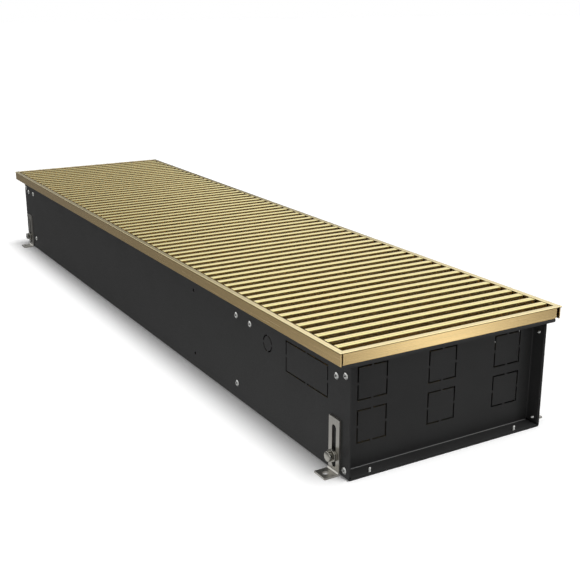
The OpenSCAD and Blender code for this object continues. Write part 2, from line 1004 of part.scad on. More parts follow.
// Brass pipe connection: hexagon body with a socket for the tube and a bore for the pipe thread
module pipe_connection(y) {
    color("#c6a25a")
        translate([port_x - port_body_l, y, tube_low_z])
            rotate([0, quarter, 0])
                difference() {
                    union() {
                        cylinder(d = port_body_af / cos(30), h = port_body_l - port_socket / 2, $fn = 6);
                        cylinder(d = port_body_af, h = port_body_l);
                    }
                    translate([0, 0, -eps])
                        cylinder(r = tube_r + slip, h = port_socket + eps);
                    cylinder(r = tube_r - tube_t, h = port_body_l);
                    translate([0, 0, port_body_l - port_l])
                        cylinder(r = port_r, h = port_l + eps);
                }
}

module flow_connection() {
    pipe_connection(-tube_y);
}

module return_connection() {
    pipe_connection(tube_y);
}

// Air vent on top of the crossover
vent_x = near_tube_x + cross_r;
vent_z = tube_high_z + tube_r - vent_seat;

module air_vent_body() {
    color("#c6a25a")
        difference() {
            translate([vent_x, 0, vent_z])
                cylinder(r = vent_body_r, h = vent_body_h);
            translate([vent_x, tube_r, tube_high_z])
                rotate([quarter, 0, 0])
                    cylinder(r = tube_r + slip, h = tube_d);
            translate([vent_x, 0, vent_z])
                cylinder(r = vent_hole_r, h = vent_body_h);
            translate([vent_x, 0, vent_z + vent_body_h - vent_thread_l])
                cylinder(r = vent_thread_r + slip, h = vent_thread_l + eps);
        }
}

module air_vent_screw() {
    seat_z = vent_z + vent_body_h + fit;
    color("#d9d9d4")
        translate([vent_x, 0, seat_z])
            difference() {
                union() {
                    translate([0, 0, fit - vent_thread_l])
                        cylinder(r = vent_thread_r, h = vent_thread_l);
                    cylinder(r = vent_head_r, h = vent_head_h);
                }
                translate([-vent_head_r - eps, -vent_slot_w / 2, vent_head_h - vent_slot_h])
                    cube([2 * (vent_head_r + eps), vent_slot_w, vent_slot_h + eps]);
            }
}

// Section of a grille bar: a closed box with rounded top edges
module bar_2d() {
    difference() {
        union() {
            translate([-bar_w / 2, 0])
                square([bar_w, bar_h - bar_edge_r]);
            translate([-bar_w / 2 + bar_edge_r, 0])
                square([bar_w - 2 * bar_edge_r, bar_h]);
            for (x = [-bar_w / 2 + bar_edge_r, bar_w / 2 - bar_edge_r])
                translate([x, bar_h - bar_edge_r])
                    circle(r = bar_edge_r);
        }
        translate([-bar_w / 2 + bar_t, bar_t])
            square([bar_w - 2 * bar_t, bar_h - 2 * bar_t]);
    }
}

function bar_x(i) = first_bar_x + i * bar_pitch;

module grille_bar(i) {
    color("#ead9a4")
        translate([bar_x(i), 0, 0])
            difference() {
                translate([0, bar_l / 2, bar_low])
                    rotate([quarter, 0, 0])
                        linear_extrude(height = bar_l)
                            bar_2d();
                for (share = rope_shares)
                    translate([-bar_w / 2 - eps, share * bar_l, rope_z])
                        rotate([0, quarter, 0])
                            cylinder(r = rope_hole_r, h = bar_w + 2 * eps);
            }
}

// Sleeves between bar i - 1 and bar i: flat against bar i, round towards bar i - 1
module sleeves(i) {
    sleeve_l = bar_gap - sleeve_play;
    sleeve_r = sleeve_d / 2;
    color("#3a3a3a")
        for (share = rope_shares)
            translate([bar_x(i) - bar_w / 2, share * bar_l, rope_z])
                rotate([0, -quarter, 0])
                    rotate_extrude()
                        intersection() {
                            union() {
                                translate([0, sleeve_l - sleeve_r])
                                    circle(r = sleeve_r);
                                square([sleeve_r, sleeve_l - sleeve_r]);
                            }
                            translate([rope_hole_r, 0])
                                square([sleeve_r, sleeve_l]);
                        }
}

module rope(x0, x1, share) {
    color("#b9bbbc")
        translate([x0, share * bar_l, rope_z])
            rotate([0, quarter, 0])
                cylinder(d = rope_d, h = x1 - x0);
}

module ferrule(x, share) {
    color("#b9bbbc")
        translate([x, share * bar_l, rope_z])
            rotate([0, quarter, 0])
                cylinder(r = ferrule_r, h = ferrule_l);
}

module grille_bars_main() {
    for (i = [0:main_count - 1])
        grille_bar(i);
}

module grille_sleeves_main() {
    for (i = [1:main_count - 1])
        sleeves(i);
}

module grille_ropes_main() {
    start_x = bar_x(0) - bar_w / 2;
    for (share = rope_shares) {
        rope(start_x - ferrule_l, bar_x(main_count - 1) + bar_w / 2 - fit, share);
        ferrule(start_x - ferrule_l - fit, share);
    }
}

// Link k: the sleeves and rope ends that hinge bar k of the roll-up end to the bar before it
module grille_link(k) {
    i = main_count + k - 1;
    sleeves(i);
    rope_x0 = bar_x(i - 1) + bar_w / 2 + sleeve_play + rope_setback;
    rope_x1 = bar_x(i) + bar_w / 2 - fit;
    for (share = rope_shares) {
        rope(rope_x0, k == hinged ? rope_x1 + ferrule_l : rope_x1, share);
        if (k == hinged)
            ferrule(rope_x1 + 2 * fit, share);
    }
}

module grille_bar_1() {
    grille_bar(main_count);
}

module grille_bar_2() {
    grille_bar(main_count + 1);
}

module grille_bar_3() {
    grille_bar(main_count + 2);
}

module grille_bar_4() {
    grille_bar(main_count + 3);
}

module grille_bar_5() {
    grille_bar(main_count + 4);
}

module grille_bar_6() {
    grille_bar(main_count + 5);
}

module grille_bar_7() {
    grille_bar(main_count + 6);
}

module grille_bar_8() {
    grille_bar(main_count + 7);
}

module grille_link_1() {
    grille_link(1);
}

module grille_link_2() {
    grille_link(2);
}

module grille_link_3() {
    grille_link(3);
}

module grille_link_4() {
    grille_link(4);
}

module grille_link_5() {
    grille_link(5);
}

module grille_link_6() {
    grille_link(6);
}

module grille_link_7() {
    grille_link(7);
}

module grille_link_8() {
    grille_link(8);
}

casing_trough();
end_plate_near();
end_plate_far();
frame_profile_front();
frame_profile_back();
frame_profile_near();
frame_profile_far();
rubber_strip_front();
rubber_strip_back();
end_plate_wall_screws();
end_plate_floor_screws();
support_screws();
backing_plate_screws();
brace_screws();
cross_brace();
foot_backing_plates();
foot_near_front();
foot_near_back();
foot_far_front();
foot_far_back();
clamp_bolt_near_front();
clamp_bolt_near_back();
clamp_bolt_far_front();
clamp_bolt_far_back();
flow_tube();
return_tube();
upper_tube_front();
upper_tube_back();
return_bend_front();
return_bend_back();
crossover_bend();
fin_pack();
exchanger_support_near();
exchanger_support_far();
tube_grommets_near();
tube_grommets_far();
flow_connection();
return_connection();
air_vent_body();
air_vent_screw();
grille_bars_main();
grille_sleeves_main();
grille_ropes_main();
grille_bar_1();
grille_bar_2();
grille_bar_3();
grille_bar_4();
grille_bar_5();
grille_bar_6();
grille_bar_7();
grille_bar_8();
grille_link_1();
grille_link_2();
grille_link_3();
grille_link_4();
grille_link_5();
grille_link_6();
grille_link_7();
grille_link_8();
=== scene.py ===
import math

import bpy
import numpy as np
from mathutils import Matrix, Vector


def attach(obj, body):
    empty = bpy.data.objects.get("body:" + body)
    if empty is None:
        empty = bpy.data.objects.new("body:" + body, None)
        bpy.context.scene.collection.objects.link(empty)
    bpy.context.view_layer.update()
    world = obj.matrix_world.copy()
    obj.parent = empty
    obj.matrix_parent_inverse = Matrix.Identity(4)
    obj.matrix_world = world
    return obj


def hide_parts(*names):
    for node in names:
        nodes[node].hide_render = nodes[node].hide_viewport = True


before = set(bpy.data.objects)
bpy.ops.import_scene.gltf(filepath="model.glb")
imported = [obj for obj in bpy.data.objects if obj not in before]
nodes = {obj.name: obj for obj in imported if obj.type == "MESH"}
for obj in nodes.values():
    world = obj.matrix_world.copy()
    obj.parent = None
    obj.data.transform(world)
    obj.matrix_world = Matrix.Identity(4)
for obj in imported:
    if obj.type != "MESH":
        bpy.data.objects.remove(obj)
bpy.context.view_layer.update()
mm = 0.001
colourA, colourB = 6, 7  # inputs of a Mix node that mixes two colours


def linearColour(hexText):
    # sRGB hex to the linear values that a shader wants, with full alpha
    channels = [int(hexText[i:i + 2], 16) / 255 for i in (1, 3, 5)]
    return [c / 12.92 if c <= 0.04045 else ((c + 0.055) / 1.055) ** 2.4 for c in channels] + [1.0]


def linkUp(tree, node, links):
    # a link comes from a socket, or from the first output in use of a node
    for key, source in links.items():
        if isinstance(source, bpy.types.Node):
            source = next(socket for socket in source.outputs if socket.enabled)
        tree.links.new(source, node.inputs[key])


def addNode(tree, kind, settings=None, links=None):
    # a setting goes to the input of that name or number, or else to the node's own option
    node = tree.nodes.new(kind)
    for key, value in (settings or {}).items():
        if isinstance(key, int) or key in node.inputs:
            node.inputs[key].default_value = value
        else:
            setattr(node, key, value)
    linkUp(tree, node, links or {})
    return node


def emptyMaterial(name):
    material = bpy.data.materials.new(name)
    material.use_nodes = True
    material.node_tree.nodes.clear()
    return material, material.node_tree


def newMaterial(name, shaderSettings):
    # a material with one principled shader
    material, tree = emptyMaterial(name)
    shader = addNode(tree, "ShaderNodeBsdfPrincipled", shaderSettings)
    addNode(tree, "ShaderNodeOutputMaterial", links={"Surface": shader})
    return material, tree, shader


def recolour(material, change):
    # change(tree, base) gets what colours the material now, and returns what takes its place
    tree = material.node_tree
    shader = tree.nodes["Principled BSDF"]
    base = shader.inputs["Base Color"].links[0].from_socket
    linkUp(tree, shader, {"Base Color": change(tree, base)})
    return material


def dress(material, *names):
    # puts one material on CAD nodes
    for name in names:
        for slot in nodes[name].material_slots:
            slot.material = material


def patternPlace(tree, repeatX, repeatY, repeatZ):
    # Object coordinates over the repeats, which are in mm: 1 is one repeat of the pattern
    place = addNode(tree, "ShaderNodeTexCoord")
    scale = [1 / (repeat * mm) for repeat in (repeatX, repeatY, repeatZ)]
    return addNode(tree, "ShaderNodeMapping", {"Scale": scale}, {"Vector": place.outputs["Object"]})


noiseSpan = {"From Min": 0.3, "From Max": 0.7}  # nearly all of the noise lies between these


def noiseBetween(tree, place, low, high, detail=3.0):
    # cloudy noise, spread in a straight line from the low to the high value
    noise = addNode(tree, "ShaderNodeTexNoise", {"Scale": 1.0, "Detail": detail}, {"Vector": place})
    return addNode(tree, "ShaderNodeMapRange", {**noiseSpan, "To Min": low, "To Max": high},
                   {"Value": noise.outputs["Fac"]})


def objectAxis(tree, axis):
    # one of the Object coordinates, in metres: 0 is x, 1 is y and 2 is z
    place = addNode(tree, "ShaderNodeTexCoord")
    parts = addNode(tree, "ShaderNodeSeparateXYZ", links={0: place.outputs["Object"]})
    return parts.outputs[axis]


def within(tree, value, low, high):
    # 1 where the value lies between two limits in mm, and 0 elsewhere
    above = addNode(tree, "ShaderNodeMath", {"operation": "GREATER_THAN", 1: low * mm}, {0: value})
    below = addNode(tree, "ShaderNodeMath", {"operation": "LESS_THAN", 1: high * mm}, {0: value})
    return addNode(tree, "ShaderNodeMath", {"operation": "MULTIPLY"}, {0: above, 1: below})


def boxMask(tree, x, y, z):
    # 1 inside a box that is mirrored in X and Y: each pair is the least and the greatest |x|, |y| and z in mm
    sizes = [addNode(tree, "ShaderNodeMath", {"operation": "ABSOLUTE"}, {0: objectAxis(tree, axis)})
             for axis in (0, 1)]
    flat = addNode(tree, "ShaderNodeMath", {"operation": "MULTIPLY"},
                   {0: within(tree, sizes[0], *x), 1: within(tree, sizes[1], *y)})
    return addNode(tree, "ShaderNodeMath", {"operation": "MULTIPLY"},
                   {0: flat, 1: within(tree, objectAxis(tree, 2), *z)})


def layOver(tree, base, layers):
    # each layer is a share, from 0 to 1, and the colour that covers what is under it by that share
    for share, colour in layers:
        base = addNode(tree, "ShaderNodeMix", {"data_type": "RGBA", colourB: linearColour(colour)},
                       {0: share, colourA: base})
    return base


# Polyester powder coat, sprayed on steel and baked: an even satin black with a faint orange peel.
# The inside is painted deep black as shade, and an end plate's fold is painted lighter as a highlight.
# The cloud and the peel are in mm, and the inside and the fold are boxes for boxMask.
powder = {"colour": "#292929", "pale": "#2d2d2d", "roughness": 0.5, "roughSpread": (-0.04, 0.05),
          "specular": 0.22, "cloud": 60, "peel": 1.1, "peelDepth": 0.1, "peelStrength": 0.07,
          # inside: a box of painted shade, deep black
          "inside": ((-1, 527.97), (-1, 124.97), (0.05, 124)), "insideColour": "#0c0c0c",
          # fold: a box painted lighter grey as a highlight
          "fold": ((528.05, 528.7), (-1, 121), (2.4, 3.0)), "foldColour": "#7c7c7c"}


def powderCoat(name):
    material, tree, shader = newMaterial(name, {"Roughness": powder["roughness"], "IOR": 1.5,
                                                "Specular IOR Level": powder["specular"]})
    cloud = noiseBetween(tree, patternPlace(tree, *[powder["cloud"]] * 3), 0.0, 1.0)
    peelPlace = patternPlace(tree, *[powder["peel"]] * 3)
    peel = noiseBetween(tree, peelPlace, 0.0, 1.0)
    coat = addNode(tree, "ShaderNodeMix", {"data_type": "RGBA", colourA: linearColour(powder["colour"]),
                                           colourB: linearColour(powder["pale"])}, {0: cloud})
    # the inside's painted shade and the fold's painted highlight lie over the coat
    coat = layOver(tree, coat, [(boxMask(tree, *powder[place]), powder[place + "Colour"])
                                for place in ("inside", "fold")])
    bump = addNode(tree, "ShaderNodeBump", {"Strength": powder["peelStrength"],
                                            "Distance": powder["peelDepth"] * mm}, {"Height": peel})
    roughness = [powder["roughness"] + step for step in powder["roughSpread"]]
    linkUp(tree, shader, {"Base Color": coat, "Roughness": noiseBetween(tree, peelPlace, *roughness),
                          "Normal": bump})
    return material


# Metal with fine lines along one axis, from a die, a brush or a lathe: it stretches highlights across them
linedLook = {"quarterTurn": 0.25,  # the widest blur lies across the lines
             "roughSpread": (-0.04, 0.06), "detail": 4.0}


def linedMetal(name, colour, dark, roughness, along, lineWidth=0.3, lineLength=25, depth=0.05,
               strength=0.08, stretch=0.5):
    # widths, lengths and depths are in mm
    material, tree, shader = newMaterial(name, {"Metallic": 1.0, "Roughness": roughness,
                                                "Anisotropic": stretch,
                                                "Anisotropic Rotation": linedLook["quarterTurn"]})
    repeats = [lineWidth] * 3
    repeats["XYZ".index(along)] = lineLength
    lines = patternPlace(tree, *repeats)
    grain = noiseBetween(tree, lines, 0.0, 1.0, linedLook["detail"])
    tone = addNode(tree, "ShaderNodeMix", {"data_type": "RGBA", colourA: linearColour(dark),
                                           colourB: linearColour(colour)}, {0: grain})
    bump = addNode(tree, "ShaderNodeBump", {"Strength": strength, "Distance": depth * mm}, {"Height": grain})
    spread = [roughness + step for step in linedLook["roughSpread"]]
    linkUp(tree, shader, {"Base Color": tone, "Roughness": noiseBetween(tree, lines, *spread),
                          "Normal": bump, "Tangent": addNode(tree, "ShaderNodeCombineXYZ", {along: 1.0})})
    return material


# Champagne gold anodised aluminium: extruded, so its die lines run along the profile or the bar.
# The tops are painted paler, as lit, and a painted shadow line runs below the frame's top. The bars' tops
# carry painted reflection, and their edges are painted darker as shade.
gold = {"colour": "#f3d59a", "dark": "#eccd92", "roughness": 0.22, "lineWidth": 0.35,
        "lineLength": 90, "depth": 0.05, "strength": 0.03, "stretch": 0.45}
# the painted shadow line and the painted pale tops are spans of heights above the slab, in mm
frameLightPaint = {"lapShadow": (135.7, 136.4), "lapShadowColour": "#6b5630", "top": (136.4, 137.5), "topColour": "#f3e1ab"}
# line, flat, edge and crownLine are distances from a bar's middle towards +X, in mm
# far and near are painted reflection on the two halves of a bar's top, and round is painted shade on its
# edges
barTint = {"pitch": 17.7, "top": (136.45, 137.5), "side": "#e9d8a8", "sideShare": 0.8,
           "far": "#f5e2a6", "near": "#f3e9a4", "edge": 5, "line": (-0.3, 0.5), "lineColour": "#c9bb80",
           "flat": (-3.9, 3.7), "round": "#a8945f", "crownRadius": 26, "crownLine": -3.5}


def paintFrameLight(tree, base):
    # the colours of the painted shadow line and the painted pale top replace the base colour at their heights
    height = objectAxis(tree, 2)
    return layOver(tree, base, [(within(tree, height, *frameLightPaint[place]), frameLightPaint[place + "Colour"])
                                for place in ("lapShadow", "top")])


def acrossBar(tree):
    # distance in X from the middle of the nearest bar: the bars stand at whole multiples of their pitch
    pitch = barTint["pitch"] * mm
    counted = addNode(tree, "ShaderNodeMath", {"operation": "MULTIPLY_ADD", 1: 1 / pitch, 2: 0.5},
                      {0: objectAxis(tree, 0)})
    share = addNode(tree, "ShaderNodeMath", {"operation": "FRACT"}, {0: counted})
    return addNode(tree, "ShaderNodeMath", {"operation": "MULTIPLY_ADD", 1: pitch, 2: -pitch / 2}, {0: share})


def tintBars(tree, base):
    # a bar's top has painted reflection in a far and a near half, a darker line between them and edges
    # painted darker as shade; its sides are one tint
    across = acrossBar(tree)
    lineLow, lineHigh = barTint["line"]
    top = addNode(tree, "ShaderNodeMix", {"data_type": "RGBA", colourA: linearColour(barTint["far"]),
                                          colourB: linearColour(barTint["near"])},
                  {0: within(tree, across, lineHigh, barTint["edge"])})
    top = layOver(tree, top, [(within(tree, across, lineLow, lineHigh), barTint["lineColour"])])
    # painted shade covers the top outside its flat middle
    top = addNode(tree, "ShaderNodeMix", {"data_type": "RGBA", colourA: linearColour(barTint["round"])},
                  {0: within(tree, across, *barTint["flat"]), colourB: top})
    side = addNode(tree, "ShaderNodeMix", {"data_type": "RGBA", 0: barTint["sideShare"],
                                           colourB: linearColour(barTint["side"])}, {colourA: base})
    isTop = within(tree, objectAxis(tree, 2), *barTint["top"])
    return addNode(tree, "ShaderNodeMix", {"data_type": "RGBA"}, {0: isTop, colourA: side, colourB: top})


def crownBars(material):
    # the bars' tops are a little crowned: the height falls by half the square of the distance from the
    # crown's line, over the crown's radius, and that line runs along the bar near its far edge
    tree = material.node_tree
    across = addNode(tree, "ShaderNodeMath", {"operation": "SUBTRACT", 1: barTint["crownLine"] * mm},
                     {0: acrossBar(tree)})
    square = addNode(tree, "ShaderNodeMath", {"operation": "MULTIPLY"}, {0: across, 1: across})
    bend = -0.5 / (barTint["crownRadius"] * mm)
    fall = addNode(tree, "ShaderNodeMath", {"operation": "MULTIPLY", 1: bend}, {0: square})
    crown = addNode(tree, "ShaderNodeBump", {"Strength": 1.0, "Distance": 1.0}, {"Height": fall})
    grain = tree.nodes["Principled BSDF"].inputs["Normal"].links[0].from_node
    linkUp(tree, grain, {"Normal": crown})
    return material


# The other metals, with the axis that their lines run along, and sizes in mm
metals = {
    # stainless strip keeps the rolling lines of the mill along the bracket's height, and shines softly
    "rolledStainless": {"colour": "#bdbbb5", "dark": "#a6a39c", "roughness": 0.34, "along": "Z"},
    # stainless bar turned on a lathe: the lines run round the bolt, so the blur is even
    "turnedStainless": {"colour": "#a9a7a0", "dark": "#8f8d86", "roughness": 0.15, "along": "Y",
                        "lineWidth": 0.5, "lineLength": 0.25, "stretch": 0.0},
    # bright zinc plate on cold-headed screws: nearly a mirror, with a faint cloud
    "brightZincPlate": {"colour": "#d2d2cf", "dark": "#b8b9b7", "roughness": 0.13, "along": "Y",
                        "lineWidth": 0.6, "lineLength": 0.6, "stretch": 0.0},
    # copper tube, drawn through a die and dulled by the air: long fine lines and a soft warm shine
    "drawnCopper": {"colour": "#c98159", "dark": "#a8603f", "roughness": 0.3, "along": "X",
                    "lineWidth": 0.4, "lineLength": 40},
    # aluminium fin stock, rolled thin: pale, with the mill's lines up each fin
    "finAluminium": {"colour": "#d3d6d8", "dark": "#b8bcbf", "roughness": 0.3, "along": "Z",
                     "lineWidth": 0.5, "lineLength": 30},
    # brass turned on a lathe: fine rings and a clear yellow shine
    "turnedBrass": {"colour": "#d3ae62", "dark": "#b8924a", "roughness": 0.24, "along": "X",
                    "lineWidth": 0.5, "lineLength": 0.25, "stretch": 0.0},
    # wire rope laid from thin steel wires: a fine grey ripple, stronger than the lines of the others
    "steelWireRope": {"colour": "#b9bbbc", "dark": "#6f7274", "roughness": 0.3, "along": "Y",
                      "lineWidth": 0.5, "lineLength": 0.8, "strength": 0.3, "stretch": 0.0}}
recessColour = "#141414"  # painted shade: the drives of the screws are dark inside


def shadeRecess(tree, base):
    # the points of a screw carry how deep they lie in its drive, from 0 to 1
    depth = addNode(tree, "ShaderNodeAttribute", {"attribute_name": "recess"})
    return layOver(tree, base, [(depth.outputs["Fac"], recessColour)])


# Hot-dip galvanised sheet: pale grey, with the patches of zinc crystals called spangle, their width in mm
galvanised = {"colour": "#b4b7b9", "dark": "#8f9396", "roughness": 0.38, "roughSpread": (-0.08, 0.1),
              "spangle": 7}


def galvanisedSheet(name):
    material, tree, shader = newMaterial(name, {"Metallic": 1.0, "Roughness": galvanised["roughness"]})
    patches = addNode(tree, "ShaderNodeTexVoronoi", {"Scale": 1.0},
                      {"Vector": patternPlace(tree, *[galvanised["spangle"]] * 3)})
    share = addNode(tree, "ShaderNodeSeparateColor", links={0: patches.outputs["Color"]})
    low, high = [galvanised["roughness"] + step for step in galvanised["roughSpread"]]
    rough = addNode(tree, "ShaderNodeMapRange", {"To Min": low, "To Max": high}, {"Value": share.outputs[1]})
    tone = addNode(tree, "ShaderNodeMix", {"data_type": "RGBA", colourA: linearColour(galvanised["dark"]),
                                           colourB: linearColour(galvanised["colour"])}, {0: share})
    linkUp(tree, shader, {"Base Color": tone, "Roughness": rough})
    return material


# Moulded rubber and plastic: dull, with the fine grit of the mould. The grit and its depth are in mm.
moulded = {"grit": 0.5, "gritDepth": 0.05, "gritStrength": 0.15, "roughSpread": (-0.05, 0.05),
           # extruded rubber strip and moulded grommets: dead matt
           "blackRubber": {"colour": "#222222", "dark": "#191919", "roughness": 0.75},
           # injection-moulded sleeves: a little shinier than the rubber
           "blackSleevePlastic": {"colour": "#2d2d2d", "dark": "#222222", "roughness": 0.5}}


def mouldedBlack(name):
    own = moulded[name]
    material, tree, shader = newMaterial(name, {"Roughness": own["roughness"], "IOR": 1.5})
    place = patternPlace(tree, *[moulded["grit"]] * 3)
    grain = noiseBetween(tree, place, 0.0, 1.0)
    tone = addNode(tree, "ShaderNodeMix", {"data_type": "RGBA", colourA: linearColour(own["dark"]),
                                           colourB: linearColour(own["colour"])}, {0: grain})
    bump = addNode(tree, "ShaderNodeBump", {"Strength": moulded["gritStrength"],
                                            "Distance": moulded["gritDepth"] * mm}, {"Height": grain})
    spread = [own["roughness"] + step for step in moulded["roughSpread"]]
    linkUp(tree, shader, {"Base Color": tone, "Roughness": noiseBetween(tree, place, *spread),
                          "Normal": bump})
    return material


rollBars = [f"grille_bar_{k}" for k in range(1, 9)]
rollLinks = [f"grille_link_{k}" for k in range(1, 9)]
footCorners = ("near_front", "near_back", "far_front", "far_back")
goldFrameX, goldFrameY = [recolour(linedMetal("goldFrameAlong" + along, along=along, **gold), paintFrameLight)
                          for along in "XY"]
goldBars = crownBars(recolour(linedMetal("goldBars", along="Y", **gold), tintBars))
metal = {name: linedMetal(name, **look) for name, look in metals.items()}
zinc = recolour(metal["brightZincPlate"], shadeRecess)

dress(powderCoat("blackPowderCoat"), "casing_trough", "end_plate_near", "end_plate_far",
      "exchanger_support_near", "exchanger_support_far")
dress(goldFrameX, "frame_profile_front", "frame_profile_back")
dress(goldFrameY, "frame_profile_near", "frame_profile_far")
dress(goldBars, "grille_bars_main", *rollBars)
dress(metal["rolledStainless"], *[f"foot_{corner}" for corner in footCorners])
dress(metal["turnedStainless"], *[f"clamp_bolt_{corner}" for corner in footCorners])
dress(zinc, "end_plate_floor_screws", "end_plate_wall_screws", "support_screws", "backing_plate_screws",
      "brace_screws")
dress(galvanisedSheet("galvanisedSteel"), "cross_brace", "foot_backing_plates")
dress(metal["drawnCopper"], "flow_tube", "return_tube", "upper_tube_front", "upper_tube_back",
      "return_bend_front", "return_bend_back", "crossover_bend")
dress(metal["finAluminium"], "fin_pack")
dress(metal["turnedBrass"], "flow_connection", "return_connection", "air_vent_body", "air_vent_screw")
dress(metal["steelWireRope"], "grille_ropes_main")
dress(mouldedBlack("blackRubber"), "rubber_strip_front", "rubber_strip_back", "tube_grommets_near",
      "tube_grommets_far")
dress(mouldedBlack("blackSleevePlastic"), "grille_sleeves_main", *rollLinks)
print("materials are on all CAD nodes")


# The camera was solved from the straight edges of the photographed object.
# Its angles are in degrees, its place and sensor in mm, its focal length and the image's side in pixels,
# and its clipping distances in m.
cameraPlace = {"azimuth": 59.60, "elevation": 17.04, "place": (1241.0, -598.9, 452.0),
               "focal": 965.2, "image": 580, "sensor": 36, "clip": (0.01, 100)}
turn = math.radians(cameraPlace["azimuth"])
tilt = math.radians(cameraPlace["elevation"])
back = Vector((math.sin(turn) * math.cos(tilt), -math.cos(turn) * math.cos(tilt), math.sin(tilt)))
right = Vector((math.cos(turn), math.sin(turn), 0))
up = back.cross(right)
camera = bpy.data.objects.new("camera", bpy.data.cameras.new("camera"))
bpy.context.scene.collection.objects.link(camera)
camera.data.sensor_width = cameraPlace["sensor"]
camera.data.lens = cameraPlace["focal"] / cameraPlace["image"] * cameraPlace["sensor"]
camera.data.clip_start, camera.data.clip_end = cameraPlace["clip"]
cameraAt = [value * mm for value in cameraPlace["place"]]
camera.matrix_world = Matrix((
    (right.x, up.x, back.x, cameraAt[0]),
    (right.y, up.y, back.y, cameraAt[1]),
    (right.z, up.z, back.z, cameraAt[2]),
    (0, 0, 0, 1)))
bpy.context.scene.camera = camera


# The world is white to the eye, to metal and to glass, and gives a softer light to dull surfaces.
# The floor's size is in m, its sink in mm, and the angles of the overhead light in degrees.
studio = {"skyLight": 0.32, "floorSize": 30, "floorColour": "#f9f9f9", "floorGlow": 0.08,
          "floorSink": 0.2, "sunPower": 2.5, "sunWidth": 20, "sunFromEnd": 8, "sunFromBack": 3}
pureWhite = (1, 1, 1, 1)
bpy.context.scene.view_settings.view_transform = "Standard"
world = bpy.data.worlds.new("whiteStudio")
bpy.context.scene.world = world
world.use_nodes = True
skyTree = world.node_tree
skyTree.nodes.clear()
skyRays = addNode(skyTree, "ShaderNodeLightPath")
isSeen = addNode(skyTree, "ShaderNodeMath", {"operation": "MAXIMUM"},
                 {0: skyRays.outputs["Is Camera Ray"], 1: skyRays.outputs["Is Glossy Ray"]})
isSeen = addNode(skyTree, "ShaderNodeMath", {"operation": "MAXIMUM"},
                 {0: isSeen, 1: skyRays.outputs["Is Transmission Ray"]})
softSky = addNode(skyTree, "ShaderNodeBackground", {"Color": pureWhite, "Strength": studio["skyLight"]})
whiteSky = addNode(skyTree, "ShaderNodeBackground", {"Color": pureWhite, "Strength": 1.0})
sky = addNode(skyTree, "ShaderNodeMixShader", links={0: isSeen, 1: softSky, 2: whiteSky})
addNode(skyTree, "ShaderNodeOutputWorld", links={"Surface": sky})

# Pale paper floor: it keeps the soft shadow and is white beyond it
bpy.ops.mesh.primitive_plane_add(size=studio["floorSize"], location=(0, 0, -studio["floorSink"] * mm))
floor = bpy.context.object
floor.name = "floor"
paper, paperTree = emptyMaterial("paleFloorPaper")
paperRays = addNode(paperTree, "ShaderNodeLightPath")
paint = addNode(paperTree, "ShaderNodeBsdfDiffuse", {"Color": linearColour(studio["floorColour"])})
lift = addNode(paperTree, "ShaderNodeMath", {"operation": "MULTIPLY", 1: studio["floorGlow"]},
               {0: paperRays.outputs["Is Camera Ray"]})
glow = addNode(paperTree, "ShaderNodeEmission", {"Color": pureWhite}, {"Strength": lift})
both = addNode(paperTree, "ShaderNodeAddShader", links={0: paint, 1: glow})
addNode(paperTree, "ShaderNodeOutputMaterial", links={"Surface": both})
floor.data.materials.append(paper)
floor.visible_glossy = False

# One broad overhead light, as from a big ceiling softbox a long way up
sun = bpy.data.objects.new("overheadLight", bpy.data.lights.new("overheadLight", "SUN"))
sun.data.energy = studio["sunPower"]
sun.data.angle = math.radians(studio["sunWidth"])
sun.visible_glossy = False  # metal mirrors the cove and the white world only
sunFrom = Vector((math.tan(math.radians(studio["sunFromEnd"])),
                  math.tan(math.radians(studio["sunFromBack"])), 1))
sun.rotation_mode = "QUATERNION"
sun.rotation_quaternion = sunFrom.to_track_quat("Z", "Y")
bpy.context.scene.collection.objects.link(sun)

# Studio cove: a wide drum round the set that only reflections see, with pale and dark cards on it.
# Its radius, top and bottom are in m, and the other heights are elevations in degrees.
# Each row is a direction in degrees (0 is +X, 90 is +Y) and how bright the cards are there.
cove = {"radius": 8, "top": 8, "bottom": -26, "sides": 96, "gain": 2.4,
        "lowTop": 13.4, "highStart": 19.8, "underTop": -26, "lowStart": -23,
        "deepTop": -32, "deepStart": -50, "deepShare": 0.35,
        "leanFrom": 100, "leanTo": 170, "leanMiddle": 140, "lean": 0.0235,
        "under": ((-180, 0.6), (-150, 1.0), (-140, 1.0), (-100, 0.6), (-62, 0.8), (0, 0.5), (35, 0.4),
                  (90, 0.4), (170, 0.4)),
        "low": ((-180, 0.2), (-165, 0.18), (-146, 0.24), (-100, 0.3), (-62, 0.8), (-20, 0.5),
                (0, 0.35), (28, 0.28), (34, 0.72), (36, 1.8), (38.2, 1.9), (41, 0.62), (44.5, 0.2),
                (100, 0.3), (140, 0.22), (146, 0.16), (151, 0.12), (155, 0.11), (158.5, 0.15),
                (162, 0.22), (167, 0.3)),
        "high": ((-175, 0.9), (-155, 1.6), (-140, 1.6), (-120, 0.9), (-62, 0.9), (0, 0.9), (30, 2.2),
                 (60, 2.2), (90, 1.0), (125, 1.1), (150, 1.15), (156, 0.8), (162, 0.6), (170, 0.6))}


def coveSurface(name):
    # an open drum: x = radius cos a, y = radius sin a, z from the bottom to the top
    sides = cove["sides"]
    angle = np.linspace(0, 2 * np.pi, sides, endpoint=False)
    points = np.concatenate([np.stack([cove["radius"] * np.cos(angle), cove["radius"] * np.sin(angle),
                                       np.full(sides, z)], axis=1) for z in (cove["bottom"], cove["top"])])
    here = np.arange(sides)
    after = (here + 1) % sides
    faces = np.stack([here, after, after + sides, here + sides], axis=1)
    mesh = bpy.data.meshes.new(name)
    mesh.from_pydata(points.tolist(), [], faces.tolist())
    drum = bpy.data.objects.new(name, mesh)
    bpy.context.scene.collection.objects.link(drum)
    return drum


def turnToShare(angle):
    # a direction from -180 to 180 degrees as a share of the full turn
    return (angle + 180) / 360


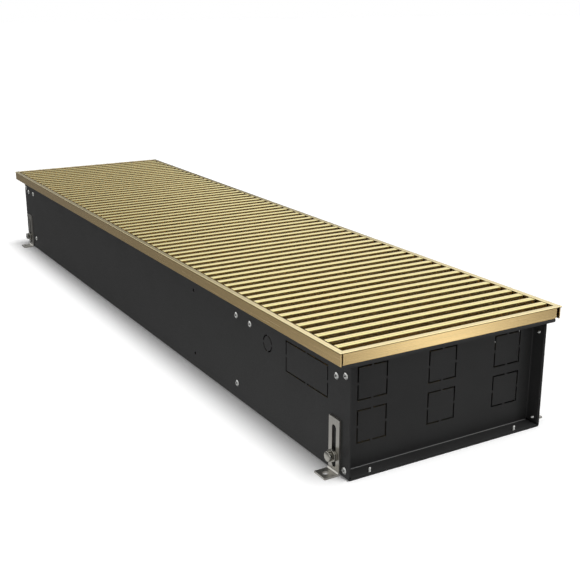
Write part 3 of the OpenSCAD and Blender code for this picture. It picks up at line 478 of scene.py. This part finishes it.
def brightnessRow(tree, turnShare, row):
    # a ramp round the drum, with each brightness over the gain, so that it fits in a colour
    ramp = addNode(tree, "ShaderNodeValToRGB", links={0: turnShare})
    stops = ramp.color_ramp.elements
    while len(stops) < len(row):
        stops.new(0.5)  # anywhere, because the next lines move it
    for stop, (angle, value) in zip(stops, row):
        stop.position = turnToShare(angle)
        stop.color = [value / cove["gain"]] * 3 + [1]
    return ramp


drum = coveSurface("studioCove")
coveCards, coveTree = emptyMaterial("coveCards")
coveX, coveY, coveZ = [objectAxis(coveTree, axis) for axis in (0, 1, 2)]
direction = addNode(coveTree, "ShaderNodeMath", {"operation": "ARCTAN2"}, {0: coveY, 1: coveX})
turnShare = addNode(coveTree, "ShaderNodeMapRange", {"From Min": -math.pi, "From Max": math.pi},
                    {"Value": direction})
coveHeight = {key: cove["radius"] * math.tan(math.radians(cove[key]))
              for key in ("lowTop", "highStart", "underTop", "lowStart", "deepTop", "deepStart")}
# the lower edge of the high cards leans: it stands higher towards the far end
leanSpan = [(cove[key] - cove["leanMiddle"]) * cove["lean"] for key in ("leanFrom", "leanTo")]
lean = addNode(coveTree, "ShaderNodeMapRange",
               {"From Min": turnToShare(cove["leanFrom"]), "From Max": turnToShare(cove["leanTo"]),
                "To Min": leanSpan[0], "To Max": leanSpan[1]}, {"Value": turnShare})
leaned = addNode(coveTree, "ShaderNodeMath", {"operation": "SUBTRACT"}, {0: coveZ, 1: lean})
rise = addNode(coveTree, "ShaderNodeMapRange",
               {"From Min": coveHeight["lowTop"], "From Max": coveHeight["highStart"]}, {"Value": leaned})
sink = addNode(coveTree, "ShaderNodeMapRange",
               {"From Min": coveHeight["lowStart"], "From Max": coveHeight["underTop"]}, {"Value": coveZ})
cards = addNode(coveTree, "ShaderNodeMix", {"data_type": "RGBA"},
                {0: rise, colourA: brightnessRow(coveTree, turnShare, cove["low"]),
                 colourB: brightnessRow(coveTree, turnShare, cove["high"])})
cards = addNode(coveTree, "ShaderNodeMix", {"data_type": "RGBA"},
                {0: sink, colourA: cards, colourB: brightnessRow(coveTree, turnShare, cove["under"])})
deep = addNode(coveTree, "ShaderNodeMapRange",
               {"From Min": coveHeight["deepStart"], "From Max": coveHeight["deepTop"],
                "To Min": cove["deepShare"] * cove["gain"], "To Max": cove["gain"]}, {"Value": coveZ})
cardGlow = addNode(coveTree, "ShaderNodeEmission", links={"Color": cards, "Strength": deep})
addNode(coveTree, "ShaderNodeOutputMaterial", links={"Surface": cardGlow})
drum.data.materials.append(coveCards)
drum.visible_camera = False
drum.visible_diffuse = False
drum.visible_transmission = False
drum.visible_shadow = False
print("camera and studio are set")


def turnedGrid(r, z, angle):
    # points of a profile turned about z: x = r cos a, y = r sin a
    return np.stack([r * np.cos(angle), r * np.sin(angle), z + 0 * angle], axis=-1).reshape(-1, 3)


def turnedFaces(rows, spokes, offset):
    # quads between the rows of a grid that closes round its axis, and a fan to one pole at each end;
    # the poles are the two points after the grid
    row, spoke = np.meshgrid(np.arange(rows - 1), np.arange(spokes), indexing="ij")
    here, after = row * spokes + spoke, row * spokes + (spoke + 1) % spokes
    quads = np.stack([here, here + spokes, after + spokes, after], axis=-1).reshape(-1, 4) + offset
    spoke = np.arange(spokes)
    first, last = rows * spokes, rows * spokes + 1
    start = np.stack([np.full(spokes, first), spoke, (spoke + 1) % spokes], axis=1) + offset
    base = (rows - 1) * spokes
    end = np.stack([np.full(spokes, last), base + (spoke + 1) % spokes, base + spoke], axis=1) + offset
    return quads.tolist() + start.tolist() + end.tolist()


def standOut(own, side, x, y, z):
    # a fastener's own axis is turned to face out of its wall, at x, side times y and z: its own x runs
    # against the side and its own y runs up, which keeps its right-handed sense
    return np.stack([x - side * own[:, 0], side * (y + own[:, 2]), z + own[:, 1]], axis=1)


def newPiece(name, points, faces, material, body, replaced, depth=None):
    # points in mm become a smooth mesh that takes a CAD node's place
    mesh = bpy.data.meshes.new(name)
    mesh.from_pydata((np.asarray(points) * mm).tolist(), [], faces)
    if depth is not None:
        mesh.attributes.new("recess", "FLOAT", "POINT").data.foreach_set("value", depth)
    mesh.update()
    mesh.shade_smooth()
    piece = bpy.data.objects.new(name, mesh)
    bpy.context.scene.collection.objects.link(piece)
    mesh.materials.append(material)
    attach(piece, body)
    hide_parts(replaced)
    return piece


# Pan-head screws of the side walls, with a cross recess and a cut thread; all sizes are in mm.
# They are placed from half the casing's length, the top of its lips and the outer face of its side walls.
caseHalf, lipTop, wallY = 545.0, 124.2, 125.0
screw = {"spokes": 48, "headR": 3.8, "headHigh": 1.9, "headEdge": 0.4, "edgeRound": 0.12, "edgeDrop": 0.05,
         "recessR": 2.0, "recessHalf": 0.5, "recessDeep": 1.05, "recessWall": 0.22,
         "threadR": 1.88, "rootR": 1.4, "pitch": 1.3, "long": 5.5, "tipLong": 1.4, "tipShare": 0.5,
         "overlap": 0.1, "poleR": 0.09, "domeRows": 24, "threadRows": 30, "tipRows": 9}
# (x, z) of each screw, from the casing's middle and floor
wallScrews = {
    "end_plate_wall_screws": [(e * (caseHalf - 7.5), z) for e in (1, -1) for z in (8.6, lipTop - 16.7)],
    "support_screws": [(x, z) for x in (caseHalf - 232.5, -caseHalf + 52.5) for z in (20.0, lipTop - 20.9)],
    "backing_plate_screws": [(e * (caseHalf - 23.5), lipTop - 21.9) for e in (1, -1)],
    "brace_screws": [(caseHalf - 199.6, lipTop - 21.9)]}
spin, spinStep = 0.3, 2.4  # each screw is driven home at its own angle, in radians from the one before


def crossRecess(r, angle, spec):
    # depth of a cross-shaped recess: the distance inside the nearer arm's edge, over the sloping wall's
    # width and from 0 to 1, times the full depth
    u, v = np.abs(r * np.cos(angle)), np.abs(r * np.sin(angle))
    outside = np.minimum(np.maximum(u - spec["recessR"], v - spec["recessHalf"]),
                         np.maximum(v - spec["recessR"], u - spec["recessHalf"]))
    return spec["recessDeep"] * np.clip(-outside / spec["recessWall"], 0, 1)


def threadRadius(z, angle, taper, spec):
    # a helix: the height along the axis over the pitch, plus the share of a turn, folded into a ridge
    # between root and crest, and all of it drawn in by the taper towards the tip
    phase = (z / spec["pitch"] + angle / (2 * np.pi)) % 1
    ridge = 1 - np.abs(2 * phase - 1)
    share = spec["tipShare"] + (1 - spec["tipShare"]) * taper
    return (spec["rootR"] + (spec["threadR"] - spec["rootR"]) * ridge) * share


def panScrewPoints(spec, spin):
    # rows run from the middle of the dome, a part of a sphere, over its edge, under the head, down the
    # thread, to the tip
    angle = np.linspace(0, 2 * np.pi, spec["spokes"], endpoint=False)
    rise = spec["headHigh"] - spec["headEdge"]
    domeR = (spec["headR"] ** 2 + rise ** 2) / (2 * rise)
    topR = np.linspace(spec["poleR"], spec["headR"] - spec["edgeRound"], spec["domeRows"])[:, None]
    topZ = spec["headHigh"] - domeR + np.sqrt(domeR ** 2 - topR ** 2)
    recess = crossRecess(topR, angle[None, :] + spin, spec)
    edgeR = np.array([[spec["headR"]], [spec["headR"]], [spec["threadR"]]]) + 0 * angle
    edgeZ = np.array([[spec["headEdge"] - spec["edgeDrop"]], [0.0], [0.0]]) + 0 * angle
    shankEnd = -spec["long"] + spec["tipLong"]
    shankZ = np.concatenate([np.linspace(-spec["overlap"], shankEnd, spec["threadRows"]),
                             np.linspace(shankEnd, -spec["long"], spec["tipRows"])[1:]])
    shankZ = shankZ[:, None] + 0 * angle
    taper = np.clip((shankZ + spec["long"]) / spec["tipLong"], 0, 1)
    r = np.concatenate([topR + 0 * recess, edgeR, threadRadius(shankZ, angle[None, :], taper, spec)])
    z = np.concatenate([topZ - recess, edgeZ, shankZ])
    topPole = [0, 0, spec["headHigh"] - spec["recessDeep"]]
    # how deep each point lies in the recess, from 0 to 1, for the shade in the drive
    depth = np.zeros(r.size + 2)
    depth[:recess.size] = (recess / spec["recessDeep"]).reshape(-1)
    depth[-2] = 1
    return np.concatenate([turnedGrid(r, z, angle), [topPole, [0, 0, -spec["long"]]]]), len(r), depth


for nodeName, spots in wallScrews.items():
    points, faces, depths, offset = [], [], [], 0
    for side in (-1, 1):
        for x, z in spots:
            own, rows, depth = panScrewPoints(screw, spin)
            spin += spinStep
            points.append(standOut(own, side, x, wallY, z))
            depths.append(depth)
            faces += turnedFaces(rows, screw["spokes"], offset)
            offset += len(own)
    newPiece(nodeName + "_detailed", np.concatenate(points), faces, zinc, "casing", nodeName,
             np.concatenate(depths))

# Floor screws: countersunk from below, so that only their threaded tips show above the end plates' flanges.
# All sizes are in mm, and across holds their places in Y at the far end, mirrored at the other.
floorScrew = {"spokes": 32, "headR": 2.75, "headHigh": 1.2, "threadR": 1.74, "rootR": 1.4, "pitch": 1.2,
              "long": 7.6, "tipLong": 0.9, "tipShare": 0.8, "inset": 3.2, "across": (-98, 91),
              "poleR": 0.1, "tipRows": 6, "threadRows": 28}


def floorScrewPoints(spec):
    # rows run from the blunt tip down the thread and out over the countersunk head, a cone, to its flat face
    angle = np.linspace(0, 2 * np.pi, spec["spokes"], endpoint=False)
    shoulder = spec["long"] - spec["tipLong"]
    shankZ = np.concatenate([np.linspace(spec["long"], shoulder, spec["tipRows"]),
                             np.linspace(shoulder, spec["headHigh"], spec["threadRows"])[1:]])[:, None]
    taper = np.clip((spec["long"] - shankZ) / spec["tipLong"], 0, 1)
    tipR = np.full((1, spec["spokes"]), spec["poleR"])
    headR = np.array([[spec["threadR"]], [spec["headR"]], [spec["poleR"]]]) + 0 * angle
    r = np.concatenate([tipR, threadRadius(shankZ, angle[None, :], taper, spec), headR])
    z = np.concatenate([[[spec["long"]]], shankZ, [[spec["headHigh"]], [0], [0]]])
    return np.concatenate([turnedGrid(r, z, angle), [[0, 0, spec["long"]], [0, 0, 0]]]), len(r)


points, faces, offset = [], [], 0
for end in (-1, 1):
    for y in floorScrew["across"]:
        own, rows = floorScrewPoints(floorScrew)
        points.append(own + [end * (caseHalf - floorScrew["inset"]), end * y, 0])
        faces += turnedFaces(rows, floorScrew["spokes"], offset)
        offset += len(own)
newPiece("end_plate_floor_screws_detailed", np.concatenate(points), faces, zinc, "casing",
         "end_plate_floor_screws")
print("screws are made")


# Clamp bolts: turned from bar, with every edge rounded so that it catches the light, and a hexagon collar.
# Collar and head are spans along the bolt's own axis, and x, y and z are its place, all in mm.
bolt = {"spokes": 96, "shankR": 3.0, "shankEnd": -10.4, "shankRound": 0.3, "neckR": 3.5,
        "collar": (0.1, 3.5), "flats": 13, "collarCap": 7.4, "collarRound": 0.5,
        "head": (4.4, 8.4), "headR": 5.5, "headRound": 0.8, "dome": 0.25,
        "poleR": 0.1, "arcRows": 7, "domeRows": 10, "x": 521.5, "y": 127.1, "z": 19.3}


def rimArcs(low, high, radius, rounding):
    # a disc's rim: a quarter circle from its low face out to its side, and one from its side to its high face
    quarter = np.linspace(0, np.pi / 2, bolt["arcRows"])
    sineGap, cosineGap = 1 - np.sin(quarter), 1 - np.cos(quarter)
    return (radius - rounding * np.concatenate([sineGap, cosineGap]),
            np.concatenate([low + rounding * cosineGap, high - rounding * sineGap]))


def clampBoltPoints(spec):
    # rows run from the shank's end over the collar, the neck and the head's rim to its face, whose height
    # falls with the square of the radius. The collar's circle is stretched to a hexagon: half its width
    # across flats over the cosine of the angle from the nearest flat, up to its blunted corners.
    angle = np.linspace(0, 2 * np.pi, spec["spokes"], endpoint=False)
    sixth, halfFlats = np.pi / 3, spec["flats"] / 2
    hexR = np.minimum(halfFlats / np.cos((angle + sixth / 2) % sixth - sixth / 2), spec["collarCap"])
    (collarLow, collarHigh), (headLow, headHigh) = spec["collar"], spec["head"]
    shankR = [spec["poleR"], spec["shankR"] - spec["shankRound"], spec["shankR"], spec["shankR"]]
    shankZ = [spec["shankEnd"], spec["shankEnd"], spec["shankEnd"] + spec["shankRound"], collarLow]
    collarR, collarZ = rimArcs(collarLow, collarHigh, halfFlats, spec["collarRound"])
    rimR, rimZ = rimArcs(headLow, headHigh - spec["dome"], spec["headR"], spec["headRound"])
    faceR = spec["headR"] - spec["headRound"]
    domeR = np.linspace(faceR, spec["poleR"], spec["domeRows"])[1:]
    domeZ = headHigh - spec["dome"] * (domeR / faceR) ** 2
    r = np.concatenate([shankR, collarR, [spec["neckR"]] * 2, rimR, domeR])[:, None] + 0 * angle
    z = np.concatenate([shankZ, collarZ, [collarHigh, headLow], rimZ, domeZ])[:, None]
    r[len(shankR):len(shankR) + len(collarR)] *= hexR / halfFlats
    return np.concatenate([turnedGrid(r, z, angle), [[0, 0, spec["shankEnd"]], [0, 0, headHigh]]]), len(r)


own, rows = clampBoltPoints(bolt)
boltFaces = [face[::-1] for face in turnedFaces(rows, bolt["spokes"], 0)]
for corner in footCorners:
    end, side = (1 if "near" in corner else -1), (-1 if "front" in corner else 1)
    node = "clamp_bolt_" + corner
    newPiece(node + "_detailed", standOut(own, side, end * bolt["x"], bolt["y"], bolt["z"]), boltFaces,
             metal["turnedStainless"], node, node)
print("clamp bolts are made")
